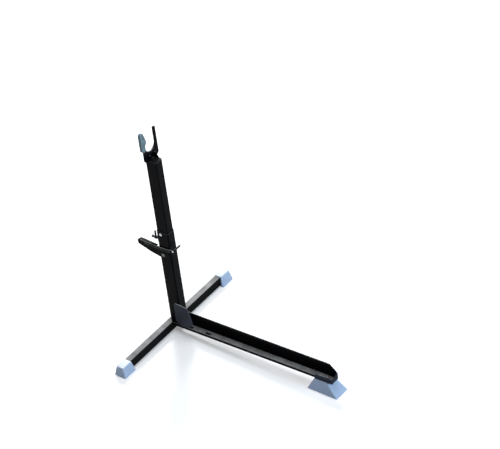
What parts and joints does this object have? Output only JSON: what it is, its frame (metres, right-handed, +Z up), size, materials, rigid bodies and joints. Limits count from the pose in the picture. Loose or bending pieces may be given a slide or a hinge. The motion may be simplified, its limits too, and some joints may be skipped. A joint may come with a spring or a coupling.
{
  "type": "floor bike rack",
  "caption": "Floor rack with a crossbar base, an inclined wheel channel and a telescopic post ending in a fork that holds the bicycle's seat post.",
  "frame": {"origin": "on the floor under the middle of the rack's plan outline, in its middle plane", "axes": "+X along the wheel channel towards its front foot, +Y along the crossbar away from the lip side, +Z up along the post"},
  "size_m": [0.6396, 0.489, 0.69],
  "materials": {
    "black_paint": "satin black powder coat",
    "blue_grey_paint": "satin blue-grey coat",
    "lever_paint": "worn satin black coat",
    "black_steel": "blackened steel",
    "zinc_steel": "bright zinc plating",
    "pale_plastic": "pale blue-grey moulded plastic",
    "blue_black_plastic": "dark blue-black plastic",
    "black_plastic": "black moulded plastic",
    "teal_rubber": "soft grey-teal rubber"
  },
  "bodies": {
    "base": {"crossbar_tube": "black_paint", "foot_far": "pale_plastic", "foot_near": "pale_plastic", "wheel_channel": "black_paint", "channel_end_cap": "blue_black_plastic", "foot_front": "pale_plastic", "foot_front_screws": "zinc_steel", "lower_post": "black_paint", "post_collar": "black_plastic", "collar_rivets": "zinc_steel", "base_gusset": "blue_grey_paint", "screw_boss": "black_paint", "lever_stud": "zinc_steel"},
    "upper": {"upper_post": "black_paint", "stop_button": "black_plastic", "post_plug": "black_plastic", "post_cap": "black_plastic", "fork_plate": "black_paint", "prong_sleeve": "teal_rubber"},
    "clamp": {"clamp_screw": "black_steel", "clamp_handle": "black_steel"},
    "lever": {"hand_lever": "lever_paint", "lever_cross_pin": "zinc_steel"}
  },
  "joints": [
    {"name": "height_slide", "type": "slide", "parent": "base", "child": "upper", "axis": [0, 0, 1], "range_m": [-0.111, 0.11]},
    {"name": "clamp_turn", "type": "hinge", "parent": "base", "child": "clamp", "pos_m": [-0.266, 0, 0.31], "axis": [1, 0, 0], "range_deg": [-100, 100]},
    {"name": "lever_swing", "type": "hinge", "parent": "base", "child": "lever", "pos_m": [-0.232, 0, 0.273], "axis": [0, 1, 0], "range_deg": [-14, 5]}
  ]
}
